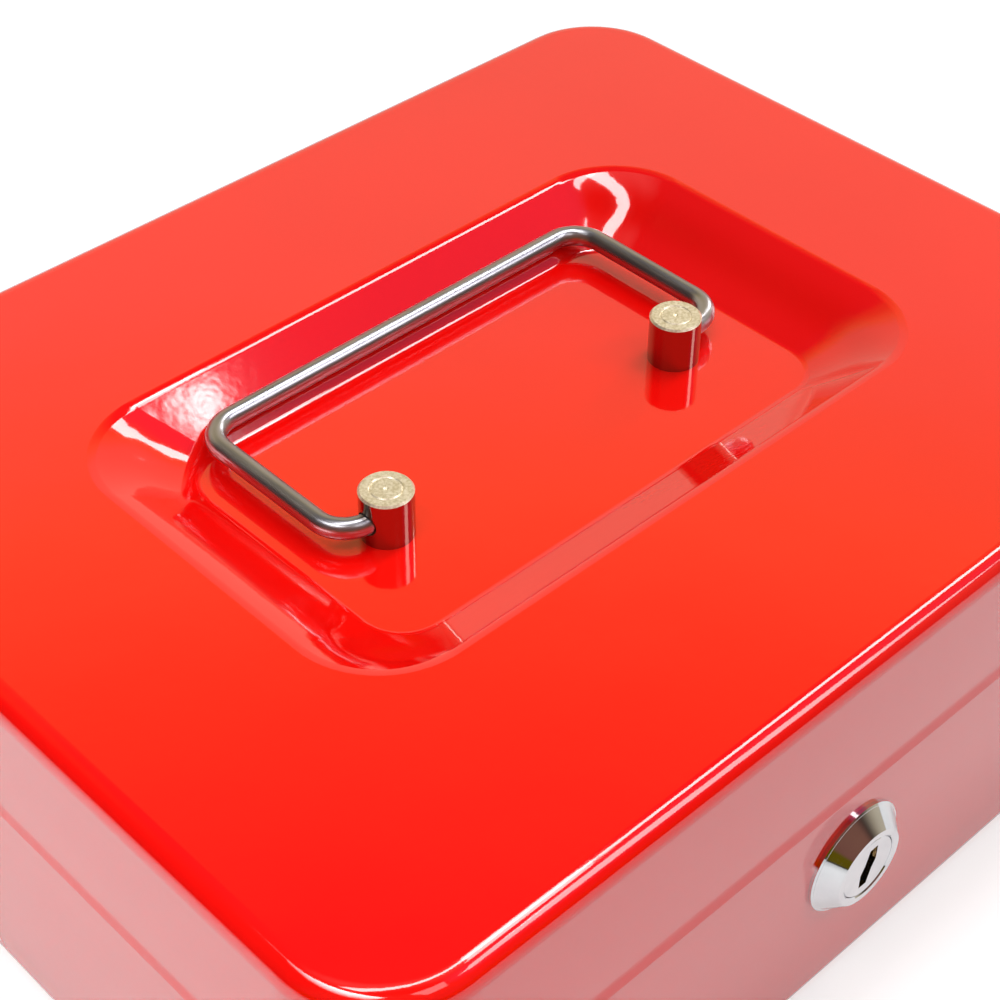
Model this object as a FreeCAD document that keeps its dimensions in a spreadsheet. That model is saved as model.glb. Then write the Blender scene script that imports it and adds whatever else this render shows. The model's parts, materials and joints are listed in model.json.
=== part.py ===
import FreeCAD, Part
import math
import os
import Sketcher

# Steel cash box: a drawn pan and a hinged lid, a bail handle folded into a well in the lid,
# a cam lock in the front wall and a loose coin tray. Millimetres.
# X runs along the front to the right, Y to the hinges at the rear, Z up. The origin is on the
# underside, in the middle of the pan.

DRIVING_SIZES = {
    # pan and lid
    "box_width": 250,
    "box_depth": 200,
    "box_height": 90,
    "corner_radius": 22,
    "sheet_metal": 0.8,
    "seam_height": 56,
    "seam_gap": 0.4,
    "lid_edge_radius": 4.5,
    "lid_flare": 0.5,
    "lid_flare_height": 2.4,
    "lid_flare_radius": 6,
    "base_edge_radius": 4,
    "base_panel_margin": 18,
    "base_panel_rise": 1.2,
    "base_panel_slope": 3,
    "lip_height": 8,
    "lip_gap": 0.5,
    "shoulder_radius": 0.9,
    "ledge_width": 7,
    "ledge_notch": 10,
    # well in the lid
    "well_rim_width": 157,
    "well_rim_depth": 94,
    "well_floor_width": 120,
    "well_floor_depth": 66,
    "well_drop": 10,
    "well_rim_corner": 19,
    "well_floor_corner": 10,
    "well_rim_radius": 4,
    "well_floor_radius": 2.5,
    # carry handle and its posts
    "wire_diameter": 4.4,
    "handle_span": 105.6,
    "handle_reach": 42.9,
    "handle_bend": 7,
    "handle_end_play": 1.2,
    "post_spacing": 80.4,
    "post_set_forward": 7.3,
    "post_diameter": 11,
    "post_height": 10.8,
    "post_chamfer": 0.4,
    "post_ring_diameter": 6.4,
    "post_ring_width": 0.5,
    "post_ring_depth": 0.2,
    "post_centre_diameter": 1,
    "post_centre_depth": 0.3,
    "post_bore_depth": 9,
    "post_bore_play": 0.3,
    "pivot_rise": 5,
    "tenon_diameter": 5,
    "tail_diameter": 7.6,
    "tail_height": 1.4,
    "tail_chamfer": 0.9,
    "post_washer_diameter": 11,
    "post_washer_thickness": 1,
    "fit": 0.05,
    # hinges
    "hinge_from_middle": 72,
    "hinge_width": 40,
    "hinge_stand_off": 2.2,
    "hinge_leaf": 0.9,
    "hinge_leaf_height": 17,
    "hinge_bend_radius": 1.2,
    "hinge_side_play": 1.4,
    "lid_knuckle": 16,
    "knuckle_gap": 0.2,
    "pin_diameter": 2.5,
    "pin_head_diameter": 3.8,
    "pin_head_height": 0.8,
    "pin_head_chamfer": 0.4,
    # lock
    "lock_left_of_middle": 6,
    "lock_height": 36.7,
    "bezel_diameter": 25,
    "bezel_rim": 1,
    "bezel_face_diameter": 17.6,
    "bezel_projection": 4.4,
    "bezel_rim_chamfer": 0.3,
    "bezel_rim_ledge": 0.5,
    "barrel_diameter": 18.8,
    "barrel_across_flats": 16.4,
    "barrel_length": 15,
    "plug_diameter": 14.2,
    "plug_recess": 0.2,
    "plug_chamfer": 0.25,
    "keyway_height": 9.4,
    "keyway_width": 2.2,
    "keyway_step": 1,
    "keyway_depth": 12,
    "wafer_count": 5,
    "wafer_pitch": 1.9,
    "wafer_first": 3,
    "wafer_thickness": 0.8,
    "wafer_width": 4.6,
    "wafer_height": 13,
    "wafer_corner": 1.1,
    "wafer_window_width": 3.2,
    "wafer_window_height": 7.4,
    "lock_washer_diameter": 25,
    "lock_washer_thickness": 0.8,
    "nut_across_flats": 22,
    "nut_thickness": 3,
    "nut_chamfer": 0.6,
    "tenon_square": 7,
    "cam_thickness": 2.2,
    "cam_hub_diameter": 14,
    "cam_arm_width": 8,
    "cam_arm_reach": 19.6,
    "hook_inner_radius": 15.5,
    "hook_outer_radius": 20,
    "hook_sweep": 34,
    "cam_washer_diameter": 10.5,
    "cam_washer_thickness": 1,
    "cam_screw_diameter": 4,
    "cam_screw_length": 8.5,
    "cam_screw_head_diameter": 8,
    "cam_screw_head_height": 2.6,
    "cam_screw_head_chamfer": 0.9,
    # catch on the lid
    "catch_metal": 1.5,
    "catch_from_lock": 4.6,
    "catch_flange": 18,
    "catch_top": 82,
    "catch_above_lip": 3,
    "catch_front_room": 5,
    "catch_reach": 21,
    "catch_bar": 2.8,
    "catch_play": 0.8,
    "catch_play_below": 2.4,
    # coin tray
    "tray_wall": 1.6,
    "tray_rest_gap": 0.1,
    "tray_rim_overlap": 1.2,
    "tray_side_play": 0.8,
    "tray_depth": 36,
    "coin_cups": 5,
    "coin_cup_length": 88,
    "coin_cup_depth": 32,
    "coin_cup_scoop": 10,
    "tray_notch_width": 70,
    "tray_notch_depth": 27,
    "tray_pocket_corner": 5,
    "tray_pocket_fillet": 3,
}

# How close two measures count as equal, and how far a cutting tool starts outside the metal
NEAR = 0.02
CLEAR = 2.0
NUT_SIDES = 6

doc = FreeCAD.newDocument("cash_box")
sheet = doc.addObject("Spreadsheet::Sheet", "Sizes")
for row, (alias, number) in enumerate(DRIVING_SIZES.items(), start=1):
    sheet.set(f"A{row}", alias)
    sheet.set(f"B{row}", str(number))
    sheet.setAlias(f"B{row}", alias)
doc.recompute()


class Size:
    """A length that carries its value and the sheet formula that drives it."""

    def __init__(self, formula, value):
        self.formula = formula
        self.value = value

    def __add__(self, other):
        other = as_size(other)
        return Size(f"({self.formula} + {other.formula})", self.value + other.value)

    def __sub__(self, other):
        other = as_size(other)
        return Size(f"({self.formula} - {other.formula})", self.value - other.value)

    def __mul__(self, factor):
        factor = as_size(factor)
        return Size(f"({self.formula} * {factor.formula})", self.value * factor.value)

    def __truediv__(self, divisor):
        divisor = as_size(divisor)
        return Size(f"({self.formula} / {divisor.formula})", self.value / divisor.value)

    def __neg__(self):
        return Size(f"(0 - {self.formula})", -self.value)


def as_size(number):
    return number if isinstance(number, Size) else Size(str(number), number)


class Sheet:
    """Reads the driving dimensions by alias."""

    def __getattr__(self, alias):
        return Size(f"Sizes.{alias}", float(sheet.get(alias)))


S = Sheet()
ZERO = as_size(0)
sub_parts = []


# Shared building steps

def new_body(label):
    """A sub-part, which is written to a file of its own at the end."""
    body = doc.addObject("PartDesign::Body", label)
    body.Label = label
    sub_parts.append(body)
    return body


def origin_feature(body, role):
    return next(item for item in body.Origin.OriginFeatures if item.Role == role)


def place(body, x=ZERO, y=ZERO, z=ZERO, axis=FreeCAD.Vector(0, 0, 1), angle=0):
    body.Placement = FreeCAD.Placement(FreeCAD.Vector(), FreeCAD.Rotation(axis, angle))
    for name, size in (("x", x), ("y", y), ("z", z)):
        body.setExpression(f"Placement.Base.{name}", as_size(size).formula)


def sketch_on(body, name, plane, offset=ZERO):
    sketch = body.newObject("Sketcher::SketchObject", name)
    sketch.AttachmentSupport = (origin_feature(body, plane), "")
    sketch.MapMode = "FlatFace"
    sketch.setExpression("AttachmentOffset.Base.z", as_size(offset).formula)
    return sketch


def vector(point):
    return FreeCAD.Vector(point[0].value, point[1].value, 0)


def bind(sketch, constraint, size):
    """Adds a dimension and ties it to the sheet."""
    index = sketch.addConstraint(constraint)
    sketch.setExpression(f"Constraints[{index}]", size.formula)


def bind_point(sketch, geometry, position, point):
    for kind, size in zip(("DistanceX", "DistanceY"), point):
        bind(sketch, Sketcher.Constraint(kind, geometry, position, size.value), size)


def outline(sketch, corners, radii=None, closed=True):
    """Straight runs through the corners. Each corner is held by a construction point, and is
    rounded by a tangent arc where it has a radius."""
    corners = [(as_size(x), as_size(y)) for x, y in corners]
    count = len(corners)
    radii = radii or {}
    points = [vector(corner) for corner in corners]

    def cut_back(index, towards):
        """The point where the run from this corner towards another one starts."""
        if index not in radii:
            return points[index]
        before = (points[index - 1] - points[index]).normalize()
        after = (points[(index + 1) % count] - points[index]).normalize()
        half_angle = before.getAngle(after) / 2
        run = (points[towards] - points[index]).normalize()
        return points[index] + run * (radii[index].value / math.tan(half_angle))

    held = []
    for corner, point in zip(corners, points):
        marker = sketch.addGeometry(Part.Point(point), True)
        bind_point(sketch, marker, 1, corner)
        held.append(marker)
    lines = []
    for index in range(count if closed else count - 1):
        after = (index + 1) % count
        run = Part.LineSegment(cut_back(index, after), cut_back(after, index))
        lines.append(sketch.addGeometry(run, False))
    for index in range(count):
        first = index == 0 and not closed
        last = index == count - 1 and not closed
        if first or last:
            end = (lines[0], 1) if first else (lines[-1], 2)
            sketch.addConstraint(Sketcher.Constraint("Coincident", *end, held[index], 1))
            continue
        arriving = lines[index - 1]
        leaving = lines[index % len(lines)]
        if index not in radii:
            sketch.addConstraint(Sketcher.Constraint("Coincident", arriving, 2, leaving, 1))
            sketch.addConstraint(Sketcher.Constraint("Coincident", arriving, 2, held[index], 1))
            continue
        start = cut_back(index, index - 1)
        end = cut_back(index, (index + 1) % count)
        chord_middle = (start + end) / 2
        outward = (points[index] - chord_middle).normalize()
        reach = (points[index] - start).Length
        to_centre = math.hypot(reach, radii[index].value)
        middle = points[index] - outward * (to_centre - radii[index].value)
        turn = (points[index] - points[index - 1]).cross(points[(index + 1) % count] - points[index])
        first_end, last_end = (1, 2) if turn.z > 0 else (2, 1)
        ends = (start, end) if turn.z > 0 else (end, start)
        bend = sketch.addGeometry(Part.Arc(ends[0], middle, ends[1]), False)
        sketch.addConstraint(Sketcher.Constraint("Tangent", arriving, 2, bend, first_end))
        sketch.addConstraint(Sketcher.Constraint("Tangent", bend, last_end, leaving, 1))
        sketch.addConstraint(Sketcher.Constraint("PointOnObject", held[index], 1, arriving))
        sketch.addConstraint(Sketcher.Constraint("PointOnObject", held[index], 1, leaving))
        bind(sketch, Sketcher.Constraint("Radius", bend, radii[index].value), radii[index])


def rectangle(sketch, x_low, x_high, y_low, y_high, radii=None):
    corners = [(x_low, y_low), (x_high, y_low), (x_high, y_high), (x_low, y_high)]
    outline(sketch, corners, dict(enumerate(radii or [])))


def centred_rectangle(sketch, width, depth, radius=None):
    radii = [radius] * 4 if radius else None
    rectangle(sketch, -width / 2, width / 2, -depth / 2, depth / 2, radii)


def circle(sketch, radius, x=ZERO, y=ZERO):
    centre = (as_size(x), as_size(y))
    ring = sketch.addGeometry(Part.Circle(vector(centre), FreeCAD.Vector(0, 0, 1), radius.value), False)
    bind_point(sketch, ring, 3, centre)
    bind(sketch, Sketcher.Constraint("Radius", ring, radius.value), radius)


def extrude(body, kind, sketch, length, reverse=False, symmetric=False):
    feature = body.newObject(f"PartDesign::{kind}", f"{sketch.Name}_{kind.lower()}")
    feature.Profile = sketch
    feature.Reversed = reverse
    feature.SideType = "Symmetric" if symmetric else "One side"
    feature.setExpression("Length", as_size(length).formula)
    doc.recompute()
    return feature


def pad(body, sketch, length, **options):
    return extrude(body, "Pad", sketch, length, **options)


def pocket(body, sketch, length, **options):
    """A cut that has to take metal away, so a wrong direction shows at once."""
    before = body.Tip.Shape.Volume
    feature = extrude(body, "Pocket", sketch, length, **options)
    if feature.Shape.Volume > before - NEAR:
        raise RuntimeError(f"{body.Label}: {sketch.Name} cuts nothing")
    return feature


def revolve(body, sketch):
    feature = body.newObject("PartDesign::Revolution", f"{sketch.Name}_turned")
    feature.Profile = sketch
    feature.ReferenceAxis = (sketch, ["V_Axis"])
    doc.recompute()
    return feature


def loft(body, kind, profile, section):
    feature = body.newObject(f"PartDesign::{kind}", f"{profile.Name}_loft")
    feature.Profile = profile
    feature.Sections = [section]
    feature.Ruled = True
    doc.recompute()
    return feature


def dress(body, kind, prop, names, size):
    """A fillet, chamfer or wall thickness on named edges or faces of the present tip."""
    feature = body.newObject(f"PartDesign::{kind}", f"{body.Label}_{kind.lower()}")
    feature.Base = (body.Tip if feature is not body.Tip else feature.BaseFeature, names)
    feature.setExpression(prop, size.formula)
    doc.recompute()
    return feature


def level_items(items, prefix, height, half_x=None, half_y=None):
    """Names of the flat items at a height, within a centred rectangle where one is given."""
    names = []
    for index, item in enumerate(items, start=1):
        box = item.BoundBox
        level = abs(box.ZMin - height.value) < NEAR and abs(box.ZMax - height.value) < NEAR
        inside_x = half_x is None or max(-box.XMin, box.XMax) < half_x.value + NEAR
        inside_y = half_y is None or max(-box.YMin, box.YMax) < half_y.value + NEAR
        if level and inside_x and inside_y:
            names.append(f"{prefix}{index}")
    return names


def fillet_level(body, height, radius, half_x=None, half_y=None):
    names = level_items(body.Tip.Shape.Edges, "Edge", height, half_x, half_y)
    return dress(body, "Fillet", "Radius", names, radius)


def shell_from(body, height):
    """Leaves a wall of sheet metal, open at the flat face at this height."""
    names = level_items(body.Tip.Shape.Faces, "Face", height)
    return dress(body, "Thickness", "Value", names, S.sheet_metal)


# Derived places that several pieces share

half_width = S.box_width / 2
half_depth = S.box_depth / 2
lid_bottom = S.seam_height + S.seam_gap
lip_inset = S.sheet_metal + S.lip_gap
lip_top = S.seam_height + S.lip_height
ledge_y = half_depth - lip_inset - S.ledge_width
well_floor = S.box_height - S.well_drop
pivot_height = well_floor + S.pivot_rise
hinge_y = half_depth + S.hinge_stand_off
hinge_z = S.seam_height + S.seam_gap / 2
knuckle_bore = S.pin_diameter / 2 + S.fit
knuckle_radius = knuckle_bore + S.hinge_leaf
lock_x = -S.lock_left_of_middle
plug_radius = S.plug_diameter / 2
cam_back = S.barrel_length + S.fit * 2


def lid_shell():
    """Drawn lid with its well, flared a little along the lower edge."""
    body = new_body("lid_shell")
    flare_top = lid_bottom + S.lid_flare_height
    underside = S.box_height - S.sheet_metal
    skirt = sketch_on(body, "lid_skirt", "XY_Plane", flare_top)
    inset_rectangle(skirt, ZERO)
    pad(body, skirt, S.box_height - flare_top)
    flared_edge(body, "AdditiveLoft", flare_top, ZERO)
    fillet_level(body, flare_top, S.lid_flare_radius)
    hollow = sketch_on(body, "lid_hollow", "XY_Plane", flare_top)
    inset_rectangle(hollow, S.sheet_metal)
    pocket(body, hollow, underside - flare_top, reverse=True)
    flared_edge(body, "SubtractiveLoft", flare_top, S.sheet_metal)
    fillet_level(body, flare_top, S.lid_flare_radius + S.sheet_metal)
    fillet_level(body, underside, S.lid_edge_radius - S.sheet_metal)
    fillet_level(body, S.box_height, S.lid_edge_radius)
    well(body, "AdditiveLoft", S.sheet_metal)
    well(body, "SubtractiveLoft", ZERO)
    holes = sketch_on(body, "post_holes", "XY_Plane", well_floor + CLEAR)
    for side in (-1, 1):
        circle(holes, S.tenon_diameter / 2 + S.fit, S.post_spacing * side / 2, -S.post_set_forward)
    pocket(body, holes, S.sheet_metal + 2 * CLEAR)
    notches = sketch_on(body, "lid_hinge_notches", "XY_Plane", hinge_z + knuckle_radius + S.knuckle_gap)
    hinge_openings(notches)
    pocket(body, notches, knuckle_radius + CLEAR)


def inset_rectangle(sketch, inset):
    """The box's rounded outline, drawn in all round by the inset."""
    centred_rectangle(
        sketch, S.box_width - inset * 2, S.box_depth - inset * 2, S.corner_radius - inset
    )


def flared_edge(body, kind, flare_top, inset):
    """The lowest part of the lid's skirt, spread outwards."""
    start = sketch_on(body, f"flare_start_{kind.lower()}", "XY_Plane", flare_top)
    inset_rectangle(start, inset)
    end = sketch_on(body, f"flare_end_{kind.lower()}", "XY_Plane", lid_bottom)
    inset_rectangle(end, inset - S.lid_flare)
    loft(body, kind, start, end)


def well(body, kind, skin):
    """The well's form, lower by the skin and wider by what keeps a sloping wall that thick."""
    top = S.box_height - skin
    bottom = well_floor - skin
    spread_x = skin * half_slope_tangent((S.well_rim_width - S.well_floor_width) / 2)
    spread_y = skin * half_slope_tangent((S.well_rim_depth - S.well_floor_depth) / 2)
    rim_width = S.well_rim_width + spread_x * 2
    rim_depth = S.well_rim_depth + spread_y * 2
    floor_width = S.well_floor_width + spread_x * 2
    floor_depth = S.well_floor_depth + spread_y * 2
    rim = sketch_on(body, f"well_rim_{kind.lower()}", "XY_Plane", top)
    centred_rectangle(rim, rim_width, rim_depth, S.well_rim_corner + skin)
    floor = sketch_on(body, f"well_floor_{kind.lower()}", "XY_Plane", bottom)
    centred_rectangle(floor, floor_width, floor_depth, S.well_floor_corner + skin)
    loft(body, kind, rim, floor)
    fillet_level(body, top, S.well_rim_radius - skin, rim_width / 2, rim_depth / 2)
    fillet_level(body, bottom, S.well_floor_radius + skin)


def half_slope_tangent(run):
    """Tangent of half the angle at which the well's wall drops over this run."""
    drop = S.well_drop
    slant = Size(f"sqrt({run.formula} ^ 2 + {drop.formula} ^ 2)", math.hypot(run.value, drop.value))
    return (slant - run) / drop


def hinge_openings(sketch):
    """Two oblong cuts through the rear wall where the hinges pass."""
    half = S.hinge_width / 2 + S.hinge_side_play
    for side in (-1, 1):
        middle = S.hinge_from_middle * side
        rectangle(sketch, middle - half, middle + half, ledge_y - CLEAR, half_depth + CLEAR)


def body_pan():
    """Drawn pan with a raised panel underneath and an inset lip that the lid closes over. The lip's
    top is turned in as a ledge for the tray, notched where the lid's catch comes down."""
    body = new_body("body_pan")
    wall = sketch_on(body, "pan_wall", "XY_Plane")
    inset_rectangle(wall, ZERO)
    pad(body, wall, S.seam_height)
    lip = sketch_on(body, "pan_lip", "XY_Plane", S.seam_height)
    lip_width = S.box_width - lip_inset * 2
    lip_depth = S.box_depth - lip_inset * 2
    lip_corner = S.corner_radius - lip_inset
    centred_rectangle(lip, lip_width, lip_depth, lip_corner)
    pad(body, lip, S.lip_height)
    fillet_level(body, ZERO, S.base_edge_radius)
    seam_edges = level_items(body.Tip.Shape.Edges, "Edge", S.seam_height)
    lip_edges = level_items(body.Tip.Shape.Edges, "Edge", S.seam_height, lip_width / 2, lip_depth / 2)
    shoulder = [name for name in seam_edges if name not in lip_edges]
    dress(body, "Fillet", "Radius", shoulder, S.shoulder_radius)
    panel_foot = sketch_on(body, "base_panel_foot", "XY_Plane")
    panel_top = sketch_on(body, "base_panel_top", "XY_Plane", S.base_panel_rise)
    for sketch, margin in (
        (panel_foot, S.base_panel_margin),
        (panel_top, S.base_panel_margin + S.base_panel_slope),
    ):
        centred_rectangle(sketch, S.box_width - margin * 2, S.box_depth - margin * 2, S.corner_radius)
    loft(body, "SubtractiveLoft", panel_foot, panel_top)
    shell_from(body, lip_top)
    ledge = sketch_on(body, "pan_ledge", "XY_Plane", lip_top - S.sheet_metal)
    for inset in (S.sheet_metal / 2, S.ledge_width):
        centred_rectangle(ledge, lip_width - inset * 2, lip_depth - inset * 2, lip_corner - inset)
    pad(body, ledge, S.sheet_metal)
    catch_notch = sketch_on(body, "catch_notch", "XY_Plane", lip_top + CLEAR)
    notch_left = lock_x + S.catch_from_lock + S.catch_metal / 2 - S.ledge_notch / 2
    notch_right = notch_left + S.ledge_notch
    notch_front = -half_depth + lip_inset + S.sheet_metal
    rectangle(catch_notch, notch_left, notch_right, notch_front, -ledge_y + CLEAR)
    pocket(body, catch_notch, S.sheet_metal + 2 * CLEAR)
    notches = sketch_on(body, "pan_hinge_notches", "XY_Plane", hinge_z - knuckle_radius - S.knuckle_gap)
    hinge_openings(notches)
    pocket(body, notches, S.lip_height + knuckle_radius + CLEAR, reverse=True)
    lock_hole = sketch_on(body, "lock_hole", "XZ_Plane", half_depth + CLEAR)
    barrel_section(lock_hole, S.fit * 2, lock_x, S.lock_height)
    pocket(body, lock_hole, S.sheet_metal + 2 * CLEAR)


def barrel_section(sketch, play, x=ZERO, y=ZERO):
    """Circle with two upright flats, the section of the lock barrel."""
    x = as_size(x)
    y = as_size(y)
    radius = S.barrel_diameter / 2 + play
    flat = S.barrel_across_flats / 2 + play
    rise = math.sqrt(radius.value ** 2 - flat.value ** 2)
    low, high = y.value - rise, y.value + rise
    left, right = x.value - flat.value, x.value + flat.value

    def at(px, py):
        return FreeCAD.Vector(px, py, 0)

    crown = at(x.value, y.value + radius.value)
    foot = at(x.value, y.value - radius.value)
    top = sketch.addGeometry(Part.Arc(at(right, high), crown, at(left, high)))
    bottom = sketch.addGeometry(Part.Arc(at(left, low), foot, at(right, low)))
    left_flat = sketch.addGeometry(Part.LineSegment(at(left, high), at(left, low)))
    right_flat = sketch.addGeometry(Part.LineSegment(at(right, low), at(right, high)))
    for one, two in ((top, left_flat), (left_flat, bottom), (bottom, right_flat), (right_flat, top)):
        sketch.addConstraint(Sketcher.Constraint("Coincident", one, 2, two, 1))
    for line in (left_flat, right_flat):
        sketch.addConstraint(Sketcher.Constraint("Vertical", line))
    sketch.addConstraint(Sketcher.Constraint("Coincident", top, 3, bottom, 3))
    bind_point(sketch, top, 3, (x, y))
    bind(sketch, Sketcher.Constraint("Radius", top, radius.value), radius)
    bind(sketch, Sketcher.Constraint("DistanceX", left_flat, 1, left), x - flat)
    bind(sketch, Sketcher.Constraint("DistanceX", right_flat, 1, right), x + flat)


# Hinges: leaf drawn about the pin, plate hanging down inside the wall

def knuckle_section(sketch):
    """The curled end of a leaf: a ring with a tongue that runs back under the pin."""
    outer = knuckle_radius
    inner = knuckle_bore
    root = S.hinge_stand_off + S.sheet_metal
    meet = math.sqrt(outer.value ** 2 - inner.value ** 2)
    root_low = FreeCAD.Vector(-root.value, -outer.value, 0)
    root_high = FreeCAD.Vector(-root.value, -inner.value, 0)
    under = FreeCAD.Vector(0, -outer.value, 0)
    closing = FreeCAD.Vector(-meet, -inner.value, 0)
    tongue = sketch.addGeometry(Part.LineSegment(root_low, under))
    curl = sketch.addGeometry(Part.Arc(under, FreeCAD.Vector(0, outer.value, 0), closing))
    upper = sketch.addGeometry(Part.LineSegment(closing, root_high))
    back = sketch.addGeometry(Part.LineSegment(root_high, root_low))
    sketch.addConstraint(Sketcher.Constraint("Tangent", tongue, 2, curl, 1))
    for one, two in ((curl, upper), (upper, back), (back, tongue)):
        sketch.addConstraint(Sketcher.Constraint("Coincident", one, 2, two, 1))
    for line in (tongue, upper):
        sketch.addConstraint(Sketcher.Constraint("Horizontal", line))
    sketch.addConstraint(Sketcher.Constraint("Vertical", back))
    sketch.addConstraint(Sketcher.Constraint("Coincident", curl, 3, -1, 1))
    bind(sketch, Sketcher.Constraint("Radius", curl, outer.value), outer)
    bind_point(sketch, back, 1, (-root, -inner))
    circle(sketch, inner)


def hinge_leaf(label, side, on_lid):
    """The lid's leaf has the middle knuckle and stands upside down, the pan's has the outer two."""
    body = new_body(label)
    face = S.hinge_stand_off + S.sheet_metal
    back = face + S.hinge_leaf
    clear_of_knuckle = knuckle_radius + S.knuckle_gap
    plate = sketch_on(body, f"{label}_plate", "YZ_Plane")
    profile = [
        (-back, -S.hinge_leaf_height),
        (-face, -S.hinge_leaf_height),
        (-face, -knuckle_radius),
        (-clear_of_knuckle, -knuckle_radius),
        (-clear_of_knuckle, -knuckle_bore),
        (-back, -knuckle_bore),
    ]
    outline(plate, profile, radii={5: S.hinge_bend_radius})
    pad(body, plate, S.hinge_width, symmetric=True)
    if on_lid:
        middle = sketch_on(body, f"{label}_knuckle", "YZ_Plane")
        knuckle_section(middle)
        pad(body, middle, S.lid_knuckle, symmetric=True)
        place(body, S.hinge_from_middle * side, hinge_y, hinge_z, FreeCAD.Vector(0, 1, 0), 180)
        return
    inner_end = S.lid_knuckle / 2 + S.knuckle_gap
    outer_knuckle = sketch_on(body, f"{label}_knuckle", "YZ_Plane", inner_end)
    knuckle_section(outer_knuckle)
    curled = pad(body, outer_knuckle, S.hinge_width / 2 - inner_end)
    twin = body.newObject("PartDesign::Mirrored", f"{label}_twin")
    twin.Originals = [curled]
    twin.MirrorPlane = (origin_feature(body, "YZ_Plane"), [""])
    body.Tip = twin
    doc.recompute()
    place(body, S.hinge_from_middle * side, hinge_y, hinge_z)


def hinge_pin(label, side):
    """Pin with both ends headed over."""
    body = new_body(label)
    section = sketch_on(body, f"{label}_section", "XZ_Plane")
    half = S.hinge_width / 2 + S.fit
    shaft = S.pin_diameter / 2
    head = S.pin_head_diameter / 2
    crown = head - S.pin_head_chamfer
    tip = half + S.pin_head_height
    brim = tip - S.pin_head_chamfer
    profile = [
        (ZERO, -tip), (crown, -tip), (head, -brim), (head, -half), (shaft, -half),
        (shaft, half), (head, half), (head, brim), (crown, tip), (ZERO, tip),
    ]
    outline(section, profile)
    revolve(body, section)
    place(body, S.hinge_from_middle * side, hinge_y, hinge_z, FreeCAD.Vector(0, 1, 0), 90)


# Carry handle

def handle_post(label, side):
    """Turned post, riveted through the well floor, bored from its outer side for the wire. Its top
    keeps the lathe's centre mark and a turned ring."""
    body = new_body(label)
    section = sketch_on(body, f"{label}_section", "XZ_Plane")
    radius = S.post_diameter / 2
    tenon = S.tenon_diameter / 2
    tail_top = -(S.sheet_metal + S.post_washer_thickness)
    tail_end = tail_top - S.tail_height
    tail = S.tail_diameter / 2
    top = S.post_height
    ring = S.post_ring_diameter / 2
    half_ring = S.post_ring_width / 2
    profile = [
        (ZERO, tail_end), (tail - S.tail_chamfer, tail_end), (tail, tail_end + S.tail_chamfer),
        (tail, tail_top), (tenon, tail_top), (tenon, ZERO), (radius, ZERO),
        (radius, top - S.post_chamfer), (radius - S.post_chamfer, top),
        (ring + half_ring, top), (ring, top - S.post_ring_depth), (ring - half_ring, top),
        (S.post_centre_diameter / 2, top), (ZERO, top - S.post_centre_depth),
    ]
    outline(section, profile)
    revolve(body, section)
    bore = sketch_on(body, f"{label}_bore", "YZ_Plane", (radius + CLEAR) * side)
    circle(bore, S.wire_diameter / 2 + S.post_bore_play, ZERO, S.pivot_rise)
    pocket(body, bore, S.post_bore_depth + CLEAR, reverse=side < 0)
    place(body, S.post_spacing * side / 2, -S.post_set_forward, well_floor)


def post_washers():
    """Washers that the riveted tails close on, under the well floor."""
    body = new_body("post_washers")
    rings = sketch_on(body, "washer_rings", "XY_Plane", well_floor - S.sheet_metal)
    for side in (-1, 1):
        for diameter in (S.post_washer_diameter, S.tenon_diameter + S.fit * 2):
            circle(rings, diameter / 2, S.post_spacing * side / 2, -S.post_set_forward)
    pad(body, rings, S.post_washer_thickness, reverse=True)


def carry_handle():
    """Bail of round wire. Its ends turn inwards into the posts."""
    body = new_body("carry_handle")
    half = S.handle_span / 2
    tip = S.post_spacing / 2 + S.post_diameter / 2 - S.post_bore_depth + S.handle_end_play * 2
    spine = sketch_on(body, "handle_line", "XY_Plane")
    corners = [
        (-tip, ZERO), (-half, ZERO), (-half, S.handle_reach),
        (half, S.handle_reach), (half, ZERO), (tip, ZERO),
    ]
    outline(spine, corners, radii={index: S.handle_bend for index in (1, 2, 3, 4)}, closed=False)
    section = sketch_on(body, "handle_section", "YZ_Plane", -tip)
    circle(section, S.wire_diameter / 2)
    pipe = body.newObject("PartDesign::AdditivePipe", "handle_wire")
    pipe.Profile = section
    pipe.Spine = (spine, [])
    doc.recompute()
    ends = [
        f"Edge{index}" for index, edge in enumerate(body.Tip.Shape.Edges, start=1)
        if edge.BoundBox.XLength < NEAR and abs(abs(edge.BoundBox.XMin) - tip.value) < NEAR
    ]
    dress(body, "Chamfer", "Size", ends, S.post_chamfer)
    place(body, S.handle_end_play, -S.post_set_forward, pivot_height)


# Lock: drawn about its axis, with the outer face of the front wall at zero and outwards positive

def place_in_lock(body):
    place(body, lock_x, -half_depth, S.lock_height, FreeCAD.Vector(1, 0, 0), 90)


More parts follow.
